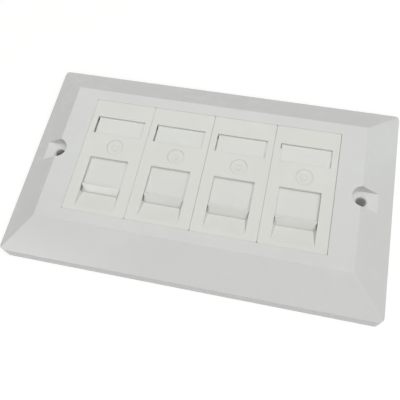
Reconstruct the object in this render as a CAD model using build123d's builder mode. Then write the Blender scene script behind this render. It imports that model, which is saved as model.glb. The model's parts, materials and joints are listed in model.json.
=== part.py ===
from build123d import *
import math
import os

# Four-port keystone faceplate, in millimetres.
# The origin is the centre of the plate's back plane.
# X runs along the long side, Y towards the label windows and Z out of the wall.

# Plate frame, whose flat border runs round the modules and meets the bevels
side_border = 9.7
end_border = 4.7
bevel_run = 13.3
plate_height = 16.0
rim_height = 6.8
plate_wall = 2.2
corner_radius = 2.2
hip_radius = 0.6

# Opening for the modules
module_count = 4
module_pitch = 25.0
module_length = 50.0
seam_gap = 0.06
end_gap = 0.03
# Each module sits a little to the left of its loose fit
module_shift = (-0.04, -0.07, -0.07, -0.05)
ledge_reach = 2.0
ledge_thickness = 2.2
collar_wall = 1.6
collar_depth = 8.0
rib_wall = 1.4
rib_depth = 8.5
short_side_rib_spacing = 40.0

# Wall screws
screw_inset = 12.7
screw_hole_diameter = 3.8
screw_lead_in = 0.5
screw_recess_diameter = 8.2
screw_seat_depth = 4.7
screw_seat_thickness = 2.2
screw_recess_wall = 1.8
screw_boss_bore = 5.0
screw_boss_wall = 1.2
screw_boss_standoff = 0.6

# Module body
face_skin = 1.4
face_corner_radius = 0.5
face_edge_radius = 0.14
tub_wall = 1.1
tub_side_inset = 0.75
tub_end_clearance = 0.2
tub_depth = 12.0
clip_width = 8.0
clip_slot = 0.8
clip_slot_end = 0.4
clip_reach = 1.3
clip_height = 2.5
clip_clearance = 0.1

# Keystone port
port_width = 14.9
port_height = 16.5
port_drop = 8.9
sleeve_wall = 1.3
sleeve_depth = 13.8
latch_window_width = 7.0
latch_window_depth = 4.2
latch_window_setback = 4.0
web_wall = 1.2

# Shutter opening and finger ramp
aperture_width = 15.7
aperture_height = 15.0
ramp_margin = 2.0
ramp_depth = 1.8
ramp_side_slope = 1.0
ramp_wall = 1.2

# Shutter
slide_clearance = 0.1
shutter_thickness = 1.3
shutter_side_lap = 0.85
shutter_top_lap = 0.5
shutter_side_clearance = 0.15
shutter_end_gap = 0.3
rib_side_gap = 0.15
rib_below_face = 0.2
rib_crest = 0.5
rib_back_run = 0.2
rib_flank_run = 2.5
rib_end_slope = 1.1
rib_edge_radius = 0.15
rail_wall = 1.0
rail_lip = 0.7
rail_lip_thickness = 1.1
apron_width = 12.0
lug_gap = 0.4
lug_thickness = 2.0

# Return spring
spring_wire = 0.4
spring_outer_diameter = 3.2
spring_turns = 9
spring_end_gap = 0.05
spring_roof_gap = 0.3
spring_peg_diameter = 1.6
spring_peg_length = 1.8
spring_seat_width = 4.4
spring_seat_length = 0.8

# Label window
label_window_length = 19.8
label_window_width = 7.8
label_margin = 7.8
label_cover_depth = 0.32
label_cover_thickness = 0.4
label_card_thickness = 0.2
label_card_clearance = 0.04
label_end_gap = 0.25
label_side_gap = 0.05
label_card_inset = 0.25
label_floor = 0.7
label_floor_border = 0.5
label_tab_reach = 0.4
label_tab_width = 2.4
label_tab_clearance = 0.2
label_slot_width = 0.4
label_slot_reach = 0.6
label_slot_length = 7.4
# Each cover sits a little to one side of its loose fit
label_cover_shift = (0.12, 0.12, -0.06, -0.2)

# Icon disc
icon_diameter = 6.5
icon_gap = 0.03
icon_below_face = 0.04
icon_thickness = 0.85
icon_offset = 0.75
icon_relief = 0.12
icon_line = 0.4
icon_screen_width = 3.0
icon_screen_height = 2.1
icon_stand_width = 1.7
icon_stand_drop = 0.5

# Values that follow from the sizes above
plate_length = module_count * module_pitch + 2 * (side_border + bevel_run)
plate_width = module_length + 2 * (end_border + bevel_run)
bevel_rise = plate_height - rim_height
bevel_taper = math.degrees(math.atan2(bevel_run, bevel_rise))
bevel_face = math.hypot(bevel_run, bevel_rise)
inner_length = plate_length - 2 * plate_wall
inner_width = plate_width - 2 * plate_wall
inner_rim_height = rim_height - plate_wall * (bevel_face - bevel_rise) / bevel_run
hollow_rise = plate_height - plate_wall - inner_rim_height

opening_length = module_count * module_pitch + seam_gap
opening_width = module_length + end_gap
skin_back = plate_height - face_skin
ledge_back = skin_back - ledge_thickness
throat_width = module_length - 2 * ledge_reach

screw_seat_z = plate_height - screw_seat_depth
screw_spacing = plate_length - 2 * screw_inset
screw_x = screw_spacing / 2

face_length = module_pitch - seam_gap
face_width = module_length - end_gap
tub_length = face_length - 2 * tub_side_inset
tub_width = throat_width - 2 * tub_end_clearance
tub_z = plate_height - tub_depth
tub_end = tub_width / 2
ramp_wall_end = tub_wall / 2 - tub_end

sleeve_z = plate_height - sleeve_depth
port_top = port_height / 2 - port_drop
port_bottom = -port_height / 2 - port_drop
aperture_top = aperture_height / 2 - port_drop
aperture_bottom = -aperture_height / 2 - port_drop
ramp_end = ramp_margin - module_length / 2
ramp_length = aperture_bottom - ramp_end

shutter_front = skin_back - slide_clearance
shutter_back = shutter_front - shutter_thickness
sleeve_front = shutter_back - slide_clearance
shutter_width = aperture_width + 2 * shutter_side_lap
shutter_top = aperture_top + shutter_top_lap
shutter_bottom = aperture_bottom + shutter_end_gap
rib_width = aperture_width - 2 * rib_side_gap
rib_top_z = plate_height - rib_below_face
rib_foot = shutter_bottom + rib_flank_run
rail_inner = shutter_width / 2 + shutter_side_clearance
rail_outer = rail_inner + rail_wall
lug_foot = port_top + sleeve_wall + lug_gap
lug_top = lug_foot + lug_thickness

label_top = module_length / 2 - label_margin
label_bottom = label_top - label_window_width
label_y = (label_top + label_bottom) / 2
label_cover_z = plate_height - label_cover_depth - label_cover_thickness
label_floor_z = label_cover_z - label_card_clearance - label_card_thickness
label_cover_length = label_window_length - 2 * label_end_gap
label_tab_span = label_cover_length + 2 * label_tab_reach
label_slot_x = (label_slot_width - label_slot_reach - label_window_length) / 2
label_slot_top = label_cover_z + label_cover_thickness + label_tab_clearance
label_slot_rise = label_slot_top - label_floor_z + label_floor
rail_top = label_bottom - label_floor_border
apron_thickness = label_floor_z - label_floor - slide_clearance - shutter_back

icon_y = (aperture_top + label_bottom) / 2
icon_pocket_z = plate_height - icon_below_face - icon_thickness

spring_z = shutter_back - spring_roof_gap - spring_outer_diameter / 2
spring_seat_y = tub_end - tub_wall - spring_seat_length
spring_rest_length = spring_seat_y - lug_top
spring_floor_z = spring_z - spring_outer_diameter / 2


def level(height, centre_x=0.0):
    """Plane parallel to the plate's back, at one height above it."""
    return Plane(origin=(centre_x, 0, height))


def side_section(centre_x):
    """Plane through a module's centre line, where local x is Y and local y is Z."""
    return Plane(origin=(centre_x, 0, 0), x_dir=(0, 1, 0), z_dir=(1, 0, 0))


def end_section(centre_x, y):
    """Plane across a module at one Y, where local x is X and local y is Z."""
    return Plane(origin=(centre_x, y, 0), x_dir=(1, 0, 0), z_dir=(0, -1, 0))


def module_centre(index):
    """X of a module's centre, counted from the left."""
    return (index - (module_count - 1) / 2) * module_pitch


def finish(builder, name):
    """Labels a piece and writes it to its own file."""
    builder.part.label = name
    export_step(builder.part, f"parts/{name}.step")


def u_outline(side, radius):
    """Outline that is round at the screw and open towards the plate's edge."""
    reach = plate_length / 2 - screw_x
    with Locations((side * screw_x, 0)):
        Circle(radius)
    with Locations((side * (screw_x + reach / 2), 0)):
        Rectangle(reach, 2 * radius)


os.makedirs("parts", exist_ok=True)

# Hollow behind the frame, less the collar, ribs and screw bosses that stay solid
with BuildPart() as rear_hollow:
    with BuildSketch(level(0)):
        Rectangle(inner_length, inner_width)
    extrude(amount=inner_rim_height)
    with BuildSketch(level(inner_rim_height)):
        Rectangle(inner_length, inner_width)
    extrude(amount=hollow_rise, taper=bevel_taper)
    with BuildSketch(level(0)):
        RectangleRounded(inner_length, inner_width, max(corner_radius - plate_wall, 0.3))
    extrude(amount=plate_height, mode=Mode.INTERSECT)
    with BuildSketch(level(plate_height - collar_depth)):
        Rectangle(opening_length + 2 * collar_wall, opening_width + 2 * collar_wall)
    extrude(amount=collar_depth, mode=Mode.SUBTRACT)
    with BuildSketch(level(plate_height - rib_depth)):
        with GridLocations(module_pitch, 0, module_count + 1, 1):
            Rectangle(rib_wall, plate_width)
        with GridLocations(0, short_side_rib_spacing, 1, 2):
            Rectangle(plate_length, rib_wall)
    extrude(amount=rib_depth, mode=Mode.SUBTRACT)
    with BuildSketch(level(screw_seat_z - screw_seat_thickness)):
        for side in (-1, 1):
            u_outline(side, screw_recess_diameter / 2 + screw_recess_wall)
    extrude(amount=screw_seat_depth + screw_seat_thickness, mode=Mode.SUBTRACT)
    with BuildSketch(level(screw_boss_standoff)):
        with GridLocations(screw_spacing, 0, 2, 1):
            Circle(screw_boss_bore / 2 + screw_boss_wall)
    extrude(amount=plate_height, mode=Mode.SUBTRACT)

# Frame: rim and four bevels in one moulding
with BuildPart() as faceplate_frame:
    with BuildSketch(level(0)):
        Rectangle(plate_length, plate_width)
    extrude(amount=rim_height)
    with BuildSketch(level(rim_height)):
        Rectangle(plate_length, plate_width)
    extrude(amount=bevel_rise, taper=bevel_taper)
    with BuildSketch(level(0)):
        RectangleRounded(plate_length, plate_width, corner_radius)
    extrude(amount=plate_height, mode=Mode.INTERSECT)
    hips = faceplate_frame.edges().filter_by(lambda e: 0.1 < abs((e % 0.5).Z) < 0.9)
    flat_border = faceplate_frame.edges().group_by(Axis.Z)[-1]
    fillet(hips.filter_by(GeomType.LINE) + flat_border, radius=hip_radius)

    # The hollow, the opening and the seats of the modules
    add(rear_hollow.part, mode=Mode.SUBTRACT)
    with BuildSketch(level(0)):
        Rectangle(opening_length, throat_width)
    extrude(amount=plate_height, mode=Mode.SUBTRACT)
    with BuildSketch(level(skin_back)):
        Rectangle(opening_length, opening_width)
    extrude(amount=face_skin, mode=Mode.SUBTRACT)
    with BuildSketch(level(0)):
        Rectangle(opening_length, opening_width)
    extrude(amount=ledge_back, mode=Mode.SUBTRACT)

    # Screw recesses that run out on the bevel, and their holes
    with BuildSketch(level(screw_seat_z)):
        for side in (-1, 1):
            u_outline(side, screw_recess_diameter / 2)
    extrude(amount=screw_seat_depth, mode=Mode.SUBTRACT)
    with BuildSketch(level(0)):
        with GridLocations(screw_spacing, 0, 2, 1):
            Circle(screw_hole_diameter / 2)
    extrude(amount=screw_seat_z, mode=Mode.SUBTRACT)
    with BuildSketch(level(0)):
        with GridLocations(screw_spacing, 0, 2, 1):
            Circle(screw_boss_bore / 2)
    extrude(amount=screw_seat_z - screw_seat_thickness, mode=Mode.SUBTRACT)
    rims = faceplate_frame.edges().filter_by(GeomType.CIRCLE)
    rims = rims.filter_by(lambda e: abs(e.radius - screw_hole_diameter / 2) < 0.01)
    chamfer(rims.group_by(Axis.Z)[-1], length=screw_lead_in)

finish(faceplate_frame, "faceplate_frame")


def make_module_body(centre_x):
    """Module body: face, tub, keystone sleeve, shutter rails, pockets and clips."""

    # Space that a finger needs to reach the shutter's rib, with slanted sides
    with BuildPart() as ramp_space:
        with BuildSketch(side_section(centre_x)):
            with BuildLine():
                Polyline(
                    (aperture_bottom, plate_height),
                    (aperture_bottom, plate_height - ramp_depth),
                    (ramp_end, plate_height),
                    close=True,
                )
            make_face()
        extrude(amount=aperture_width / 2, both=True)
        with BuildSketch(end_section(centre_x, aperture_bottom)):
            with BuildLine():
                Polyline(
                    (-aperture_width / 2, plate_height),
                    (ramp_side_slope - aperture_width / 2, plate_height - ramp_depth),
                    (aperture_width / 2 - ramp_side_slope, plate_height - ramp_depth),
                    (aperture_width / 2, plate_height),
                    close=True,
                )
            make_face()
        extrude(amount=ramp_length, both=True, mode=Mode.INTERSECT)

    with BuildPart() as body:
        # Face with its rounded border
        with BuildSketch(level(skin_back, centre_x)):
            RectangleRounded(face_length, face_width, face_corner_radius)
        extrude(amount=face_skin)
        fillet(body.edges().group_by(Axis.Z)[-1], radius=face_edge_radius)

        # Tub behind the face
        with BuildSketch(level(tub_z, centre_x)):
            Rectangle(tub_length, tub_width)
            Rectangle(tub_length - 2 * tub_wall, tub_width - 2 * tub_wall, mode=Mode.SUBTRACT)
        extrude(amount=skin_back - tub_z)

        # Keystone sleeve, joined to the tub by two webs on each side
        with BuildSketch(level(sleeve_z, centre_x)):
            with Locations((0, -port_drop)):
                Rectangle(port_width + 2 * sleeve_wall, port_height + 2 * sleeve_wall)
        extrude(amount=sleeve_front - sleeve_z)
        with BuildSketch(level(tub_z, centre_x)):
            with Locations((0, -port_drop)):
                with GridLocations(0, port_height / 2, 1, 2):
                    Rectangle(tub_length - tub_wall, web_wall)
        extrude(amount=sleeve_front - rail_lip_thickness - tub_z)

        # Solid under the finger ramp
        with BuildSketch(level(plate_height - ramp_depth - ramp_wall, centre_x)):
            with Locations((0, (aperture_bottom + ramp_wall_end) / 2)):
                Rectangle(rail_outer * 2, aperture_bottom - ramp_wall_end)
        extrude(amount=ramp_depth + ramp_wall - face_skin)

        # Floor of the label pocket
        with BuildSketch(level(label_floor_z - label_floor, centre_x)):
            with Locations((0, label_y)):
                Rectangle(tub_length - tub_wall, label_window_width + 2 * label_floor_border)
        extrude(amount=skin_back - label_floor_z + label_floor)

        # Two rails that guide the shutter, each with a lip behind it
        with BuildSketch(end_section(centre_x, aperture_bottom)):
            for side in (-1, 1):
                with Locations((side * (rail_inner + rail_wall / 2), 0)):
                    with Locations((0, (skin_back + sleeve_front - rail_lip_thickness) / 2)):
                        Rectangle(rail_wall, skin_back - sleeve_front + rail_lip_thickness)
                with Locations((side * (rail_outer - (rail_wall + rail_lip) / 2), 0)):
                    with Locations((0, sleeve_front - rail_lip_thickness / 2)):
                        Rectangle(rail_wall + rail_lip, rail_lip_thickness)
        extrude(amount=aperture_bottom - rail_top)

        # Seat and peg of the return spring
        with BuildSketch(end_section(centre_x, spring_seat_y)):
            with Locations((0, (spring_floor_z + skin_back) / 2)):
                Rectangle(spring_seat_width, skin_back - spring_floor_z)
        extrude(amount=spring_seat_y - tub_end + tub_wall / 2)
        with BuildSketch(end_section(centre_x, spring_seat_y)):
            with Locations((0, spring_z)):
                Circle(spring_peg_diameter / 2)
        extrude(amount=spring_peg_length)

        # Through port, with the groove and window that hold the jack
        with BuildSketch(level(sleeve_z, centre_x)):
            with Locations((0, -port_drop)):
                Rectangle(port_width, port_height)
        extrude(amount=sleeve_front - sleeve_z, mode=Mode.SUBTRACT)
        with BuildSketch(level(sleeve_z + latch_window_setback, centre_x)):
            with Locations((0, port_top + sleeve_wall / 2)):
                Rectangle(latch_window_width, 2 * sleeve_wall)
            with Locations((0, port_bottom)):
                Rectangle(latch_window_width, sleeve_wall)
        extrude(amount=latch_window_depth, mode=Mode.SUBTRACT)

        # Openings in the face
        with BuildSketch(level(sleeve_front, centre_x)):
            with Locations((0, -port_drop)):
                Rectangle(aperture_width, aperture_height)
        extrude(amount=plate_height - sleeve_front, mode=Mode.SUBTRACT)
        add(ramp_space.part, mode=Mode.SUBTRACT)
        with BuildSketch(level(label_floor_z, centre_x)):
            with Locations((0, label_y)):
                Rectangle(label_window_length, label_window_width)
        extrude(amount=plate_height - label_floor_z, mode=Mode.SUBTRACT)
        with BuildSketch(level(label_cover_z, centre_x)):
            with Locations((0, label_y)):
                Rectangle(
                    label_tab_span + 2 * label_tab_clearance,
                    label_tab_width + 2 * label_tab_clearance,
                )
        extrude(amount=label_cover_thickness + label_tab_clearance, mode=Mode.SUBTRACT)

        # Slot at the pocket's left end, open to the rear, for prying the cover out
        with BuildSketch(level(label_floor_z - label_floor, centre_x)):
            with Locations((label_slot_x, label_y)):
                Rectangle(label_slot_width + label_slot_reach, label_slot_length)
        extrude(amount=label_slot_rise, mode=Mode.SUBTRACT)

        # Pocket of the icon disc
        with BuildSketch(level(icon_pocket_z, centre_x)):
            with Locations((icon_offset, icon_y)):
                Circle(icon_diameter / 2 + icon_gap)
        extrude(amount=plate_height - icon_pocket_z, mode=Mode.SUBTRACT)

        # Snap clips at both ends, each a tongue between two slots with a barb
        slot_rise = ledge_back - clip_slot_end - tub_z
        with BuildSketch(level(tub_z, centre_x)):
            with GridLocations(clip_width + clip_slot, tub_width - tub_wall, 2, 2):
                Rectangle(clip_slot, 2 * tub_wall)
        extrude(amount=slot_rise, mode=Mode.SUBTRACT)
        barb_z = ledge_back - clip_clearance
        for side in (-1, 1):
            with BuildSketch(side_section(centre_x)):
                with BuildLine():
                    Polyline(
                        (side * (tub_end - tub_wall / 2), barb_z),
                        (side * (tub_end + clip_reach), barb_z),
                        (side * tub_end, barb_z - clip_height),
                        (side * (tub_end - tub_wall / 2), barb_z - clip_height),
                        close=True,
                    )
                make_face()
            extrude(amount=clip_width / 2, both=True)
    return body


def make_shutter(centre_x):
    """Shutter: slab with a thin lip, finger rib with slanted ends, apron, lug and spring peg."""

    # Finger rib along the shutter's lower edge
    with BuildPart() as finger_rib:
        with BuildSketch(side_section(centre_x)):
            with BuildLine():
                Polyline(
                    (shutter_bottom, shutter_back),
                    (shutter_bottom, shutter_back + slide_clearance),
                    (rib_foot, rib_top_z),
                    (rib_foot + rib_crest, rib_top_z),
                    (rib_foot + rib_crest + rib_back_run, shutter_front),
                    (rib_foot + rib_crest + rib_back_run, shutter_back),
                    close=True,
                )
            make_face()
        extrude(amount=rib_width / 2, both=True)
        with BuildSketch(end_section(centre_x, rib_foot)):
            with BuildLine():
                Polyline(
                    (-rib_width / 2, rib_top_z),
                    (rib_end_slope - rib_width / 2, shutter_back),
                    (rib_width / 2 - rib_end_slope, shutter_back),
                    (rib_width / 2, rib_top_z),
                    close=True,
                )
            make_face()
        extrude(amount=aperture_height, both=True, mode=Mode.INTERSECT)
        fillet(finger_rib.edges().filter_by(Axis.X).group_by(Axis.Z)[-1], radius=rib_edge_radius)

    with BuildPart() as shutter:
        slab_foot = rib_foot + rib_crest
        with BuildSketch(level(shutter_back, centre_x)):
            with Locations((0, (slab_foot + shutter_top) / 2)):
                Rectangle(shutter_width, shutter_top - slab_foot)
        extrude(amount=shutter_thickness)
        with BuildSketch(side_section(centre_x)):
            with BuildLine():
                Polyline(
                    (shutter_bottom, shutter_back),
                    (shutter_bottom, shutter_back + slide_clearance),
                    (slab_foot, shutter_front),
                    (slab_foot, shutter_back),
                    close=True,
                )
            make_face()
        extrude(amount=rib_width / 2, both=True)
        add(finger_rib.part)

        # Apron that passes under the label pocket, with the lug that the spring pushes on
        with BuildSketch(level(shutter_back, centre_x)):
            with Locations((0, (slab_foot + lug_top) / 2)):
                Rectangle(apron_width, lug_top - slab_foot)
        extrude(amount=apron_thickness)
        with BuildSketch(level(spring_floor_z, centre_x)):
            with Locations((0, (lug_foot + lug_top) / 2)):
                Rectangle(spring_seat_width, lug_thickness)
        extrude(amount=shutter_back + apron_thickness - spring_floor_z)
        with BuildSketch(end_section(centre_x, lug_top)):
            with Locations((0, spring_z)):
                Circle(spring_peg_diameter / 2)
        extrude(amount=-spring_peg_length)
    return shutter


def make_spring(centre_x):
    """Compression coil between the shutter's lug and its seat."""
    wire_radius = spring_wire / 2
    coil_start = lug_top + spring_end_gap + wire_radius
    coil_rise = spring_rest_length - 2 * (spring_end_gap + wire_radius)
    with BuildPart() as spring:
        with BuildLine() as coil:
            Helix(
                pitch=coil_rise / spring_turns,
                height=coil_rise,
                radius=spring_outer_diameter / 2 - wire_radius,
                center=(centre_x, coil_start, spring_z),
                direction=(0, 1, 0),
            )
        with BuildSketch(Plane(origin=coil.line @ 0, z_dir=coil.line % 0)):
            Circle(wire_radius)
        sweep(is_frenet=True)
    return spring


def make_label_cover(centre_x):
    """Clear cover with a snap tab at each end."""
    with BuildPart() as cover:
        with BuildSketch(level(label_cover_z, centre_x)):
            with Locations((0, label_y)):
                Rectangle(label_cover_length, label_window_width - 2 * label_side_gap)
                Rectangle(label_tab_span, label_tab_width)
        extrude(amount=label_cover_thickness)
    return cover


def make_label_card(centre_x):
    """Paper card under the cover."""
    card_length = label_cover_length - 2 * label_card_inset
    card_width = label_window_width - 2 * (label_side_gap + label_card_inset)
    with BuildPart() as card:
        with BuildSketch(level(label_floor_z, centre_x)):
            with Locations((0, label_y)):
                Rectangle(card_length, card_width)
        extrude(amount=label_card_thickness)
    return card


def make_icon_disc(centre_x):
    """Round disc with a plain screen outline on it, for a data outlet."""
    with BuildPart() as disc:
        with BuildSketch(level(icon_pocket_z, centre_x)):
            with Locations((icon_offset, icon_y)):
                Circle(icon_diameter / 2)
        extrude(amount=icon_thickness - icon_relief)
        with BuildSketch(level(icon_pocket_z + icon_thickness - icon_relief, centre_x)):
            with Locations((icon_offset, icon_y)):
                Circle(icon_diameter / 2)
                Circle(icon_diameter / 2 - icon_line, mode=Mode.SUBTRACT)
                Rectangle(icon_screen_width, icon_screen_height)
                Rectangle(
                    icon_screen_width - 2 * icon_line,
                    icon_screen_height - 2 * icon_line,
                    mode=Mode.SUBTRACT,
                )
            stand_y = icon_y - icon_screen_height / 2 - icon_stand_drop
            with Locations((icon_offset, stand_y)):
                Rectangle(icon_stand_width, icon_line)
        extrude(amount=icon_relief)
    return disc


for index in range(module_count):
    number = index + 1
    centre = module_centre(index) + module_shift[index % len(module_shift)]
    cover_centre = centre + label_cover_shift[index % len(label_cover_shift)]
    finish(make_module_body(centre), f"module_body_{number}")
    finish(make_shutter(centre), f"shutter_{number}")
    finish(make_spring(centre), f"shutter_spring_{number}")
    finish(make_label_cover(cover_centre), f"label_cover_{number}")
    finish(make_label_card(centre), f"label_card_{number}")
    finish(make_icon_disc(centre), f"icon_disc_{number}")
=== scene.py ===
import json
import math
from collections import namedtuple

import bmesh
import bpy
from bpy.props import FloatProperty, FloatVectorProperty, IntProperty, PointerProperty
from mathutils import Matrix, Quaternion, Vector
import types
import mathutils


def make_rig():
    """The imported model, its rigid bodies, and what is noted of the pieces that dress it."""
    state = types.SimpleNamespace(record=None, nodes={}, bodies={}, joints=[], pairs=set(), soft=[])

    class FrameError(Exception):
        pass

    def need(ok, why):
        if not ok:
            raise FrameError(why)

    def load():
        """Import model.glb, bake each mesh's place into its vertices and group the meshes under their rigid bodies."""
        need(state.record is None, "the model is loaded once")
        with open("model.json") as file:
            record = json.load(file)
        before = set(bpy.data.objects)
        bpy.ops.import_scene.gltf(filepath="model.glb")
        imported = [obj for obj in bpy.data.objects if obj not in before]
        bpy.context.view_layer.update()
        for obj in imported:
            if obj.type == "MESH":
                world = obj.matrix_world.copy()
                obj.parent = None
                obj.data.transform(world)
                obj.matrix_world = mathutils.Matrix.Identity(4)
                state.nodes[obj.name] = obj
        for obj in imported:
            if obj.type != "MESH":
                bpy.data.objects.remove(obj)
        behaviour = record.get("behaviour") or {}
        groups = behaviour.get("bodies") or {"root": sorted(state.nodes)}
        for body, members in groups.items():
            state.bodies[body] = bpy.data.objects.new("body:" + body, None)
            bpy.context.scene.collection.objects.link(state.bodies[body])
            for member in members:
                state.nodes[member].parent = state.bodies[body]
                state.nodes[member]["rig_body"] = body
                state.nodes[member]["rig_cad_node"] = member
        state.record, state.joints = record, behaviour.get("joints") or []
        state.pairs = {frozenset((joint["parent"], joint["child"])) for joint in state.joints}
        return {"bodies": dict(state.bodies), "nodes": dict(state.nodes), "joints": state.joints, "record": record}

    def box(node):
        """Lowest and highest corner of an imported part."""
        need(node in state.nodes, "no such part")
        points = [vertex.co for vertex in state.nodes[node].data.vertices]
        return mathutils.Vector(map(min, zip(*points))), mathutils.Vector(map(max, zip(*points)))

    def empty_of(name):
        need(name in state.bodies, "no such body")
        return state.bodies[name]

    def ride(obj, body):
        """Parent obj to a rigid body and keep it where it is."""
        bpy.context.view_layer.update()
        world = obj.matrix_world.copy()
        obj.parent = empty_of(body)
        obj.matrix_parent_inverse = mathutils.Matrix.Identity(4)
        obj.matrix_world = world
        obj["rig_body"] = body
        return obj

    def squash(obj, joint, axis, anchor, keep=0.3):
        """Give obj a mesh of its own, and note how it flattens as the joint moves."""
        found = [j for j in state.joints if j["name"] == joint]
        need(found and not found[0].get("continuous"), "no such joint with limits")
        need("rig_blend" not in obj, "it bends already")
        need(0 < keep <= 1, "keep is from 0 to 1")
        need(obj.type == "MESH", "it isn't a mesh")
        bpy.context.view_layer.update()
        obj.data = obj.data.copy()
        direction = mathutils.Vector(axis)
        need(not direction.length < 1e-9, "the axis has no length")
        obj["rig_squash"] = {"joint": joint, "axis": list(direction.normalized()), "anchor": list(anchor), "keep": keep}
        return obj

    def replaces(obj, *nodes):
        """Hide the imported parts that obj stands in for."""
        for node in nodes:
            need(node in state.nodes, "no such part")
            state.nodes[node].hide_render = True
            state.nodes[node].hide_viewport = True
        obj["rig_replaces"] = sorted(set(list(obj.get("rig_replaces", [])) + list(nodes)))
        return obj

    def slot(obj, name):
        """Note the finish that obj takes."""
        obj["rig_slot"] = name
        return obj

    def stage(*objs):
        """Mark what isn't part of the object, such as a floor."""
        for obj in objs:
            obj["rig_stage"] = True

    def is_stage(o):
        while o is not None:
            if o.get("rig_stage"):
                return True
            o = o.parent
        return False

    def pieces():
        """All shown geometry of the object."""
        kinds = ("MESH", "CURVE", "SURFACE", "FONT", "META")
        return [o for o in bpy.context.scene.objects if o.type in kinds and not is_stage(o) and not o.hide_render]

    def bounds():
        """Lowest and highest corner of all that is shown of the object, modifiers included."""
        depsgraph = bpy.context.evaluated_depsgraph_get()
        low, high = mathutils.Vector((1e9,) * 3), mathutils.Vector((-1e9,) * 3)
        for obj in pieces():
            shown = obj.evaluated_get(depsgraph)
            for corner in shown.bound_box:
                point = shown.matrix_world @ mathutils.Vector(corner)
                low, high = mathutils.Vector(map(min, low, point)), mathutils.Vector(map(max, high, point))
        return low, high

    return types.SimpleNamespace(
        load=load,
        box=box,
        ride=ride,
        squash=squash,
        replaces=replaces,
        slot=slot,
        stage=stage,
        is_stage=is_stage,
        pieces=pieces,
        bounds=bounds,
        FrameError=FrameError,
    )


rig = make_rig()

bl_info = {
    "name": "Keystone Faceplate",
    "version": (1, 0, 0),
    "blender": (4, 5, 0),
    "location": "View3D > Sidebar > Faceplate",
    "description": "Finishes a four-port keystone faceplate and sets it on a plain stage",
    "category": "Object",
}

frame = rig.load()
cad_low, cad_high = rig.bounds()
port_count = sum(name.startswith("module_body") for name in frame["nodes"])
PORTS = range(1, port_count + 1)

MM = 0.001
WELD_DISTANCE = MM / 1000
SHARP_ANGLE = math.radians(50)
WHITE = (1.0, 1.0, 1.0)
PALE_BLUE = (0.98, 0.99, 1.0)

# Square lamps, in metres. The window panes stand where the right bevel mirrors them to the camera.
Lamp = namedtuple("Lamp", "place side colour")
KEY = Lamp(place=(0.40, -0.56, 2.09), side=2.4, colour=(1.0, 0.995, 0.98))
FRONT = Lamp(place=(-0.49, -0.86, 0.34), side=0.35, colour=WHITE)
CEILING = Lamp(place=(-0.40, 1.50, 1.65), side=2.2, colour=PALE_BLUE)
WINDOW_PANES = tuple(
    Lamp(place=place, side=0.03, colour=(0.84, 0.97, 1.0))
    for place in ((0.92, 0.54, 0.16), (0.86, 0.53, 0.12), (0.83, 0.55, 0.20)))


class PlasticFinish(bpy.types.PropertyGroup):
    """Colours and surface of the moulded white plastic."""

    frame_colour: FloatVectorProperty(
        name="Frame colour", description="Colour of the bevelled frame",
        subtype="COLOR", size=3, min=0, max=1, default=(0.666, 0.674, 0.662))
    module_colour: FloatVectorProperty(
        name="Module colour", description="Colour of the modules and icon discs",
        subtype="COLOR", size=3, min=0, max=1, default=(0.698, 0.705, 0.664))
    shutter_colour: FloatVectorProperty(
        name="Shutter colour", description="Colour of the shutters, a little cooler",
        subtype="COLOR", size=3, min=0, max=1, default=(0.684, 0.690, 0.664))
    roughness: FloatProperty(
        name="Roughness", description="Mean roughness of the moulded faces",
        subtype="FACTOR", min=0, max=1, default=0.26)
    edge_radius: FloatProperty(
        name="Edge radius", description="Radius at which the light rounds every moulded edge",
        unit="LENGTH", min=0, max=MM, default=0.06 * MM)
    glow_depth: FloatProperty(
        name="Glow depth", description="How far light spreads inside the plastic",
        unit="LENGTH", min=0, default=0.3 * MM)
    cloud_size: FloatProperty(
        name="Cloud size", description="Size of the faint uneven patches in the plastic",
        unit="LENGTH", min=MM, default=19 * MM)
    ripple_size: FloatProperty(
        name="Ripple size", description="Size of the shallow ripples that a mould leaves",
        unit="LENGTH", min=0.1 * MM, default=1.6 * MM)
    grain_size: FloatProperty(
        name="Grain size", description="Size of the fine spark grain",
        unit="LENGTH", min=0.01 * MM, default=0.16 * MM)


class LabelFinish(bpy.types.PropertyGroup):
    """Colours and surfaces of the label card and its clear cover."""

    card_colour: FloatVectorProperty(
        name="Card colour", description="Colour of the paper card",
        subtype="COLOR", size=3, min=0, max=1, default=(0.690, 0.694, 0.666))
    fibre_size: FloatProperty(
        name="Fibre size", description="Width of the paper's fibres",
        unit="LENGTH", min=0.05 * MM, default=0.5 * MM)
    cover_tint: FloatVectorProperty(
        name="Cover tint", description="Tint of the clear cover",
        subtype="COLOR", size=3, min=0, max=1, default=(0.982, 0.984, 0.982))
    cover_roughness: FloatProperty(
        name="Cover roughness", description="Least roughness of the clear cover",
        subtype="FACTOR", min=0, max=1, default=0.08)
    scuff_size: FloatProperty(
        name="Scuff size", description="Size of the cover's faint scuffs",
        unit="LENGTH", min=0.05 * MM, default=0.9 * MM)
    wave_size: FloatProperty(
        name="Wave size", description="Size of the waves in the clear sheet",
        unit="LENGTH", min=0.1 * MM, default=4 * MM)


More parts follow.
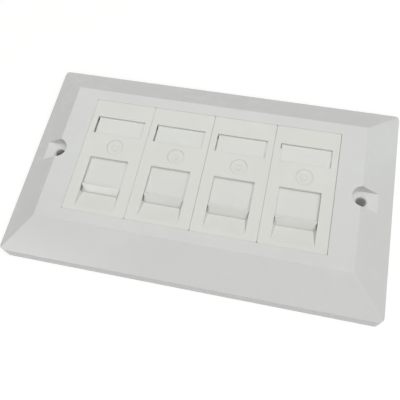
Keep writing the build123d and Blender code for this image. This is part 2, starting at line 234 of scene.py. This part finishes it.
class DiscShape(bpy.types.PropertyGroup):
    """Shape of the snap-in icon discs."""

    rim_width: FloatProperty(
        name="Rim width", description="Width of the raised rim",
        unit="LENGTH", min=0.1 * MM, default=0.4 * MM)
    relief: FloatProperty(
        name="Relief", description="Height of the rim and the icon above the face",
        unit="LENGTH", min=0.01 * MM, default=0.12 * MM)
    screen_width: FloatProperty(
        name="Screen width", description="Width of the plain screen outline",
        unit="LENGTH", min=MM, default=3.0 * MM)
    screen_height: FloatProperty(
        name="Screen height", description="Height of the plain screen outline",
        unit="LENGTH", min=MM, default=2.1 * MM)
    stand_width: FloatProperty(
        name="Stand width", description="Width of the line under the screen",
        unit="LENGTH", min=0.1 * MM, default=1.7 * MM)
    stand_drop: FloatProperty(
        name="Stand drop", description="Distance from the screen down to its stand",
        unit="LENGTH", min=0, default=0.5 * MM)
    line_width: FloatProperty(
        name="Line width", description="Width of the raised lines",
        unit="LENGTH", min=0.1 * MM, default=0.4 * MM)
    steps: IntProperty(
        name="Steps", description="Straight steps round the disc", min=24, default=96)


class SpringShape(bpy.types.PropertyGroup):
    """Shape and colour of the return springs."""

    wire: FloatProperty(
        name="Wire", description="Diameter of the spring's wire",
        unit="LENGTH", min=0.1 * MM, default=0.4 * MM)
    wire_sides: IntProperty(
        name="Wire sides", description="Straight steps round the wire", min=3, default=8)
    open_turns: IntProperty(
        name="Open turns", description="Turns between the closed ends", min=2, default=7)
    steps: IntProperty(
        name="Steps", description="Straight steps in one turn", min=8, default=28)
    steel_colour: FloatVectorProperty(
        name="Steel colour", description="Colour of the drawn wire",
        subtype="COLOR", size=3, min=0, max=1, default=(0.56, 0.57, 0.58))
    mark_size: FloatProperty(
        name="Mark size", description="Size of the marks that drawing leaves on the wire",
        unit="LENGTH", min=0.01 * MM, default=0.25 * MM)


class StageSetup(bpy.types.PropertyGroup):
    """Camera, lights and floor."""

    camera_place: FloatVectorProperty(
        name="Camera place", description="Where the camera stands",
        subtype="TRANSLATION", unit="LENGTH", size=3, default=(30.14 * MM, -86.46 * MM, 191.05 * MM))
    camera_aim: FloatVectorProperty(
        name="Camera aim", description="Point on the plate's face that the camera looks at",
        subtype="TRANSLATION", unit="LENGTH", size=3, default=(1.45 * MM, -12.34 * MM, 16 * MM))
    camera_roll: FloatProperty(
        name="Camera roll", description="Turn of the camera about its own axis",
        subtype="ANGLE", default=math.radians(-9.81))
    camera_lens: FloatProperty(
        name="Lens", description="Focal length in millimetres on a 36 mm sensor",
        min=10, default=46.19)
    sky_level: FloatProperty(
        name="Sky level", description="Strength of the even light from all round",
        min=0, default=0.26)
    key_level: FloatProperty(
        name="Key level", description="Power of the large lamp above, in watts",
        min=0, default=44.6)
    front_gloss: FloatProperty(
        name="Front gloss", description="Power of the lamp in front, in watts, seen only as gloss",
        min=0, default=1.6)
    ceiling_gloss: FloatProperty(
        name="Ceiling gloss", description="Power of the pale ceiling, in watts, seen only as gloss",
        min=0, default=18.5)
    window_gloss: FloatProperty(
        name="Window gloss", description="Power of each far window pane, in watts, seen only as gloss",
        min=0, default=0.03)
    floor_reach: FloatProperty(
        name="Floor reach", description="Distance from the floor's middle to each of its edges",
        unit="LENGTH", min=100 * MM, default=0.7)
    floor_colour: FloatVectorProperty(
        name="Floor colour", description="Colour of the floor under its glow",
        subtype="COLOR", size=3, min=0, max=1, default=(0.46, 0.46, 0.46))
    floor_glow: FloatProperty(
        name="Floor glow", description="Light that the floor seems to give, seen by the camera",
        min=0, default=0.60)


class Sock:
    """A shader socket. Arithmetic on it adds the Math nodes that work it out."""

    def __init__(self, finish, link):
        self.finish = finish
        self.link = link

    def maths(self, operation, first, second):
        return self.finish.node("ShaderNodeMath", {"operation": operation}, {0: first, 1: second})

    def __add__(self, other):
        return self.maths("ADD", self, other)

    def __radd__(self, other):
        return self.maths("ADD", other, self)

    def __sub__(self, other):
        return self.maths("SUBTRACT", self, other)

    def __rsub__(self, other):
        return self.maths("SUBTRACT", other, self)

    def __mul__(self, other):
        return self.maths("MULTIPLY", self, other)

    def __rmul__(self, other):
        return self.maths("MULTIPLY", other, self)

    def __pow__(self, other):
        return self.maths("POWER", self, other)

    def __or__(self, other):
        return self.maths("MAXIMUM", self, other)


class Finish:
    """The node tree of a material or of the world, and one way to add nodes to it."""

    def __init__(self, owner):
        owner.use_nodes = True
        self.owner = owner
        self.tree = owner.node_tree
        self.tree.nodes.clear()

    def node(self, kind, settings=None, inputs=None, output=0):
        """Adds a node, sets it, then gives its sockets their values or links."""
        made = self.tree.nodes.new(kind)
        for name, value in (settings or {}).items():
            setattr(made, name, value)
        for name, value in (inputs or {}).items():
            socket = made.inputs[name]
            if isinstance(value, Sock):
                self.tree.links.new(value.link, socket)
            elif socket.type == "RGBA":
                socket.default_value = (*value, 1.0)
            else:
                socket.default_value = value
        return Sock(self, made.outputs[output]) if made.outputs else None

    def noise(self, place, size, detail):
        """Noise from 0 to 1, with a mean of 0.5, whose patches are about this size."""
        return self.node("ShaderNodeTexNoise", None,
                         {"Vector": place, "Scale": 1 / size, "Detail": detail})

    def mottle(self, share, colour, darkest, lightest):
        """The colour, varied from a darker to a lighter shade of itself."""
        dark, light = (
            tuple(min(channel * factor, 1.0) for channel in colour) for factor in (darkest, lightest))
        # A Mix node's factor and two colours are its inputs 0, 6 and 7, and its colour is output 2
        return self.node("ShaderNodeMix", {"data_type": "RGBA"}, {0: share, 6: dark, 7: light}, output=2)

    def bump(self, height, strength, distance, **inputs):
        """A normal that follows this height."""
        return self.node("ShaderNodeBump", None,
                         {"Height": height, "Strength": strength, "Distance": distance, **inputs})

    def done(self, surface, kind="ShaderNodeOutputMaterial"):
        """Ends the tree with its output, and gives back the material or the world."""
        self.node(kind, None, {"Surface": surface})
        return self.owner


def new_finish(name):
    """A new material's node tree, and the place on the object for its patterns."""
    finish = Finish(bpy.data.materials.new(name))
    return finish, finish.node("ShaderNodeTexCoord", output="Object")


def moulded_plastic(name, colour):
    """White moulded plastic: faint clouds, shallow ripples, fine grain and soft edges."""
    sizes = bpy.context.scene.faceplate_plastic
    cloud_roughness, grain_roughness, grain_height = 0.10, 0.08, 0.35
    finish, place = new_finish(name)
    cloud = finish.noise(place, sizes.cloud_size, detail=3.0)
    ripple = finish.noise(place, sizes.ripple_size, detail=1.0)
    grain = finish.noise(place, sizes.grain_size, detail=2.0)
    tone = finish.mottle(cloud, colour, darkest=0.965, lightest=1.03)
    rough = sizes.roughness + (cloud - 0.5) * cloud_roughness + (grain - 0.5) * grain_roughness
    edge = finish.node("ShaderNodeBevel", {"samples": 6}, {"Radius": sizes.edge_radius})
    relief = finish.bump(
        ripple + grain * grain_height, strength=0.35, distance=0.012 * MM, Normal=edge)
    surface = finish.node("ShaderNodeBsdfPrincipled", None, {
        "Base Color": tone, "Roughness": rough, "IOR": 1.5, "Subsurface Weight": 0.25,
        "Subsurface Radius": (1.0, 0.9, 0.8), "Subsurface Scale": sizes.glow_depth, "Normal": relief})
    return finish.done(surface)


def paper(name, colour):
    """White card with fine fibres that run along the label."""
    sizes = bpy.context.scene.faceplate_label
    fibre_stretch, highest_roughness, fibre_roughness = 4, 0.85, 0.1
    finish, place = new_finish(name)
    along = finish.node(
        "ShaderNodeMapping", None, {"Vector": place, "Scale": (1 / fibre_stretch, 1.0, 1.0)})
    fibre = finish.noise(along, sizes.fibre_size, detail=6.0)
    surface = finish.node("ShaderNodeBsdfPrincipled", None, {
        "Base Color": finish.mottle(fibre, colour, darkest=0.96, lightest=1.04),
        "Roughness": highest_roughness - fibre * fibre_roughness,
        "Normal": finish.bump(fibre, strength=0.3, distance=0.02 * MM)})
    return finish.done(surface)


def clear_cover(name, tint):
    """Thin clear cover, which shows what lies under it and mirrors more at a slant."""
    sizes = bpy.context.scene.faceplate_label
    scuff_roughness, straight_mirror, slant_power = 0.06, 0.04, 5
    finish, place = new_finish(name)
    scuff = finish.noise(place, sizes.scuff_size, detail=4.0)
    wave = finish.noise(place, sizes.wave_size, detail=1.0)
    relief = finish.bump(wave, strength=0.25, distance=0.03 * MM)
    gloss = finish.node("ShaderNodeBsdfPrincipled", None, {
        "Base Color": tint, "Metallic": 1.0, "Normal": relief,
        "Roughness": sizes.cover_roughness + scuff * scuff_roughness})
    sheet = finish.node("ShaderNodeBsdfTransparent", None, {"Color": tint})
    slant = finish.node("ShaderNodeLayerWeight", None, {"Blend": 0.5, "Normal": relief}, "Facing")
    mirror = straight_mirror + slant ** slant_power * (1 - straight_mirror)
    return finish.done(finish.node("ShaderNodeMixShader", None, {0: mirror, 1: sheet, 2: gloss}))


def drawn_steel(name, colour):
    """Spring wire with faint draw marks."""
    sizes = bpy.context.scene.faceplate_springs
    least_roughness, mark_roughness = 0.24, 0.2
    finish, place = new_finish(name)
    mark = finish.noise(place, sizes.mark_size, detail=4.0)
    surface = finish.node("ShaderNodeBsdfPrincipled", None, {
        "Base Color": finish.mottle(mark, colour, darkest=0.8, lightest=1.15),
        "Metallic": 1.0, "Roughness": least_roughness + mark * mark_roughness})
    return finish.done(surface)


def dress(node, material):
    """Gives a CAD node one material."""
    mesh = frame["nodes"][node].data
    mesh.materials.clear()
    mesh.materials.append(material)


def new_piece(name, bm, material, slot, node):
    """Turns a bmesh into a piece that rides on the plate and stands for a CAD node."""
    mesh = bpy.data.meshes.new(name)
    bmesh.ops.remove_doubles(bm, verts=bm.verts, dist=WELD_DISTANCE)
    bmesh.ops.recalc_face_normals(bm, faces=bm.faces)
    bm.to_mesh(mesh)
    bm.free()
    mesh.shade_smooth()
    mesh.set_sharp_from_angle(angle=SHARP_ANGLE)
    mesh.materials.append(material)
    piece = bpy.data.objects.new(name, mesh)
    bpy.context.scene.collection.objects.link(piece)
    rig.ride(piece, "faceplate")
    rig.slot(piece, slot)
    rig.replaces(piece, node)
    return piece


class FACEPLATE_OT_frame(bpy.types.Operator):
    """Finish the bevelled frame in glossy white plastic"""

    bl_idname = "faceplate.frame"
    bl_label = "Finish frame"

    def execute(self, context):
        colours = context.scene.faceplate_plastic
        dress("faceplate_frame", moulded_plastic("Frame plastic", colours.frame_colour))
        return {"FINISHED"}


class FACEPLATE_OT_modules(bpy.types.Operator):
    """Finish the modules and their shutters in warm white plastic"""

    bl_idname = "faceplate.modules"
    bl_label = "Finish modules"

    def execute(self, context):
        colours = context.scene.faceplate_plastic
        body = moulded_plastic("Module plastic", colours.module_colour)
        shutter = moulded_plastic("Shutter plastic", colours.shutter_colour)
        for port in PORTS:
            dress(f"module_body_{port}", body)
            dress(f"shutter_{port}", shutter)
        return {"FINISHED"}


class FACEPLATE_OT_discs(bpy.types.Operator):
    """Make the icon discs, each with a rounded rim and a plain screen outline in relief"""

    bl_idname = "faceplate.discs"
    bl_label = "Make icon discs"

    def execute(self, context):
        sizes = context.scene.faceplate_discs
        finish = moulded_plastic("Disc plastic", context.scene.faceplate_plastic.module_colour)
        screen = (sizes.screen_width, sizes.screen_height)
        stand = (sizes.stand_width, sizes.line_width)
        for port in PORTS:
            node = f"icon_disc_{port}"
            low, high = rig.box(node)
            middle = (low + high) / 2
            stand_y = middle.y - sizes.screen_height / 2 - sizes.stand_drop
            bm = turn_disc(low, high, sizes)
            raise_lines(bm, (middle.x, middle.y), screen, high.z, sizes, hollow=True)
            raise_lines(bm, (middle.x, stand_y), stand, high.z, sizes, hollow=False)
            new_piece(f"screen_disc_{port}", bm, finish, "module_plastic", node)
        return {"FINISHED"}


def turn_disc(low, high, sizes):
    """Disc turned from half of its section: a rounded rim round a face sunk below it."""
    radius = (high.x - low.x) / 2
    inner = radius - sizes.rim_width
    curve = sizes.rim_width / 4
    face = high.z - sizes.relief
    arc = [(curve * math.cos(turn), curve * math.sin(turn) - curve)
           for turn in (0, math.pi / 6, math.pi / 3, math.pi / 2)]
    section = [(0, low.z), (radius, low.z)]
    section += [(radius - curve + out, high.z + drop) for out, drop in arc]
    section += [(inner + curve - out, high.z + drop) for out, drop in reversed(arc)]
    section += [(inner, face), (0, face)]
    centre = Vector(((low.x + high.x) / 2, (low.y + high.y) / 2, 0))
    bm = bmesh.new()
    points = [bm.verts.new(centre + Vector((out, 0, height))) for out, height in section]
    edges = [bm.edges.new(pair) for pair in zip(points, points[1:])]
    bmesh.ops.spin(
        bm, geom=points + edges, cent=centre, axis=(0, 0, 1), angle=math.tau, steps=sizes.steps,
        use_merge=True, use_normal_flip=False, use_duplicate=False)
    return bm


def raise_lines(bm, place, size, top, sizes, hollow):
    """Adds a low rounded bar, or only its outline, that is rooted in the disc's face."""
    root = sizes.relief / 2
    height = sizes.relief + root
    outline_rounding, bar_rounding = 1.2 * sizes.line_width, 0.45 * sizes.line_width
    known = set(bm.faces)
    shape = Matrix.Translation((*place, top - height)) @ Matrix.Diagonal((*size, 1, 1))
    corners = bmesh.ops.create_grid(bm, x_segments=1, y_segments=1, size=0.5, matrix=shape)["verts"]
    bmesh.ops.bevel(
        bm, geom=corners, affect="VERTICES", offset=outline_rounding if hollow else bar_rounding,
        segments=3, profile=0.5, material=-1)
    sheet = [face for face in bm.faces if face not in known]
    if hollow:
        outline = bmesh.ops.inset_region(
            bm, faces=sheet, thickness=sizes.line_width, use_boundary=True, use_even_offset=True)["faces"]
        bmesh.ops.delete(bm, geom=sheet, context="FACES")
        sheet = outline
    raised = bmesh.ops.extrude_face_region(bm, geom=sheet, use_keep_orig=True)["geom"]
    lifted = [item for item in raised if isinstance(item, bmesh.types.BMVert)]
    bmesh.ops.translate(bm, verts=lifted, vec=(0, 0, height))


class FACEPLATE_OT_labels(bpy.types.Operator):
    """Finish the label cards in paper and their covers in clear plastic"""

    bl_idname = "faceplate.labels"
    bl_label = "Finish label windows"

    def execute(self, context):
        colours = context.scene.faceplate_label
        card = paper("Label card", colours.card_colour)
        cover = clear_cover("Label cover", colours.cover_tint)
        for port in PORTS:
            dress(f"label_card_{port}", card)
            dress(f"label_cover_{port}", cover)
        return {"FINISHED"}


class FACEPLATE_OT_springs(bpy.types.Operator):
    """Wind the return springs with closed ends and let each one shorten as its shutter opens"""

    bl_idname = "faceplate.springs"
    bl_label = "Wind springs"

    def execute(self, context):
        sizes = context.scene.faceplate_springs
        steel = drawn_steel("Spring steel", sizes.steel_colour)
        slides = {joint["child"]: joint for joint in frame["joints"]}
        for port in PORTS:
            node = f"shutter_spring_{port}"
            low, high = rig.box(node)
            coil = wind_spring(low, high, sizes)
            spring = new_piece(f"return_spring_{port}", coil, steel, "spring_steel", node)
            slide = slides[f"shutter_{port}"]
            length = high.y - low.y
            anchor = ((low.x + high.x) / 2, high.y, (low.z + high.z) / 2)
            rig.squash(spring, slide["name"], axis=(0, 1, 0), anchor=anchor,
                      keep=(length - slide["range_m"][1]) / length)
        return {"FINISHED"}


def wind_spring(low, high, sizes):
    """Coil along Y that fills the box, with one closed turn at each end."""
    wire = sizes.wire
    closed = (1, wire)
    opened = (sizes.open_turns, high.y - low.y - 3 * wire)
    centre = (low + high) / 2
    coil_radius = (high.z - low.z - wire) / 2
    start = Matrix.Translation((centre.x, low.y + wire / 2, centre.z + coil_radius))
    upright = Matrix.Rotation(math.pi / 2, 4, "Y")
    bm = bmesh.new()
    bmesh.ops.create_circle(bm, segments=sizes.wire_sides, radius=wire / 2, matrix=start @ upright)
    geometry = bm.verts[:] + bm.edges[:]
    first = bm.edges[:]
    for turns, rise in (closed, opened, closed):
        steps = turns * sizes.steps
        geometry = bmesh.ops.spin(
            bm, geom=geometry, cent=centre, axis=(0, 1, 0), dvec=(0, rise / steps, 0),
            angle=turns * math.tau, steps=steps, use_merge=False, use_normal_flip=False,
            use_duplicate=False)["geom_last"]
    last = [item for item in geometry if isinstance(item, bmesh.types.BMEdge)]
    for end in (first, last):
        bmesh.ops.contextual_create(bm, geom=end)
    return bm


class FACEPLATE_OT_stage(bpy.types.Operator):
    """Set the floor, the lights and the camera"""

    bl_idname = "faceplate.stage"
    bl_label = "Set stage"

    def execute(self, context):
        stage = context.scene.faceplate_stage
        make_floor(stage)
        make_world(stage)
        make_camera(stage)
        add_lamp("Key lamp", KEY, stage.key_level).visible_glossy = False
        gloss = [("Front gloss", FRONT, stage.front_gloss),
                 ("Ceiling gloss", CEILING, stage.ceiling_gloss)]
        gloss += [(f"Window pane {number}", pane, stage.window_gloss)
                  for number, pane in enumerate(WINDOW_PANES)]
        for name, lamp, power in gloss:
            add_lamp(name, lamp, power).visible_diffuse = False
        context.scene.view_settings.view_transform = "Standard"
        return {"FINISHED"}


def seen_directly(finish):
    """1 for what the camera sees, straight or in gloss and glass, and 0 for light."""
    camera, glossy, through = (
        finish.node("ShaderNodeLightPath", output=f"Is {kind} Ray")
        for kind in ("Camera", "Glossy", "Transmission"))
    return camera | glossy | through


def make_floor(stage):
    """Pale floor that looks white and still takes a soft shadow."""
    bm = bmesh.new()
    bmesh.ops.create_grid(bm, x_segments=1, y_segments=1, size=stage.floor_reach)
    mesh = bpy.data.meshes.new("floor")
    bm.to_mesh(mesh)
    bm.free()
    floor = bpy.data.objects.new("floor", mesh)
    bpy.context.scene.collection.objects.link(floor)
    finish = Finish(bpy.data.materials.new("Floor"))
    matt = finish.node("ShaderNodeBsdfDiffuse", None, {"Color": stage.floor_colour})
    glow = finish.node("ShaderNodeEmission", None, {
        "Color": WHITE, "Strength": seen_directly(finish) * stage.floor_glow})
    mesh.materials.append(finish.done(finish.node("ShaderNodeAddShader", None, {0: matt, 1: glow})))
    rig.stage(floor)


def make_world(stage):
    """Even pale light, with white where the camera looks past the floor."""
    world = bpy.data.worlds.new("Studio")
    bpy.context.scene.world = world
    finish = Finish(world)
    light = finish.node("ShaderNodeBackground", None, {"Color": PALE_BLUE, "Strength": stage.sky_level})
    white = finish.node("ShaderNodeBackground", None, {"Color": WHITE, "Strength": 1.0})
    surface = finish.node("ShaderNodeMixShader", None, {0: seen_directly(finish), 1: light, 2: white})
    finish.done(surface, "ShaderNodeOutputWorld")


def add_lamp(name, lamp, power):
    """Square lamp that faces the plate."""
    light = bpy.data.lights.new(name, "AREA")
    light.size = lamp.side
    light.energy = power
    light.color = lamp.colour
    holder = bpy.data.objects.new(name, light)
    holder.location = lamp.place
    holder.rotation_mode = "QUATERNION"
    holder.rotation_quaternion = (-Vector(lamp.place)).to_track_quat("-Z", "Y")
    bpy.context.scene.collection.objects.link(holder)
    return holder


def make_camera(stage):
    """Camera at the photograph's view."""
    camera = bpy.data.cameras.new("Camera")
    camera.lens = stage.camera_lens
    camera.sensor_width = 36.0
    camera.clip_start = 10 * MM
    holder = bpy.data.objects.new("Camera", camera)
    holder.location = stage.camera_place
    aim = Vector(stage.camera_aim) - Vector(stage.camera_place)
    roll = Quaternion((0, 0, 1), stage.camera_roll)
    holder.rotation_mode = "QUATERNION"
    holder.rotation_quaternion = aim.to_track_quat("-Z", "Y") @ roll
    bpy.context.scene.collection.objects.link(holder)
    bpy.context.scene.camera = holder


class FACEPLATE_PT_panel(bpy.types.Panel):
    """The faceplate's steps"""

    bl_label = "Faceplate"
    bl_space_type = "VIEW_3D"
    bl_region_type = "UI"
    bl_category = "Faceplate"

    def draw(self, context):
        for step in STEPS:
            self.layout.operator(step.bl_idname)


STEPS = (
    FACEPLATE_OT_stage, FACEPLATE_OT_frame, FACEPLATE_OT_modules, FACEPLATE_OT_discs,
    FACEPLATE_OT_labels, FACEPLATE_OT_springs)
GROUPS = {
    "faceplate_plastic": PlasticFinish,
    "faceplate_label": LabelFinish,
    "faceplate_discs": DiscShape,
    "faceplate_springs": SpringShape,
    "faceplate_stage": StageSetup,
}


def register():
    for name, group in GROUPS.items():
        bpy.utils.register_class(group)
        setattr(bpy.types.Scene, name, PointerProperty(type=group))
    for step in (*STEPS, FACEPLATE_PT_panel):
        bpy.utils.register_class(step)


def unregister():
    for step in reversed((*STEPS, FACEPLATE_PT_panel)):
        bpy.utils.unregister_class(step)
    for name, group in GROUPS.items():
        delattr(bpy.types.Scene, name)
        bpy.utils.unregister_class(group)


def main():
    register()
    bpy.ops.faceplate.stage()
    bpy.ops.faceplate.frame()
    bpy.ops.faceplate.modules()
    bpy.ops.faceplate.discs()
    bpy.ops.faceplate.labels()
    bpy.ops.faceplate.springs()
    low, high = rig.bounds()
    with open("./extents.json", "w") as report:
        json.dump({"cad": [list(cad_low), list(cad_high)], "visual": [list(low), list(high)]}, report)


if __name__ == "__main__":
    main()
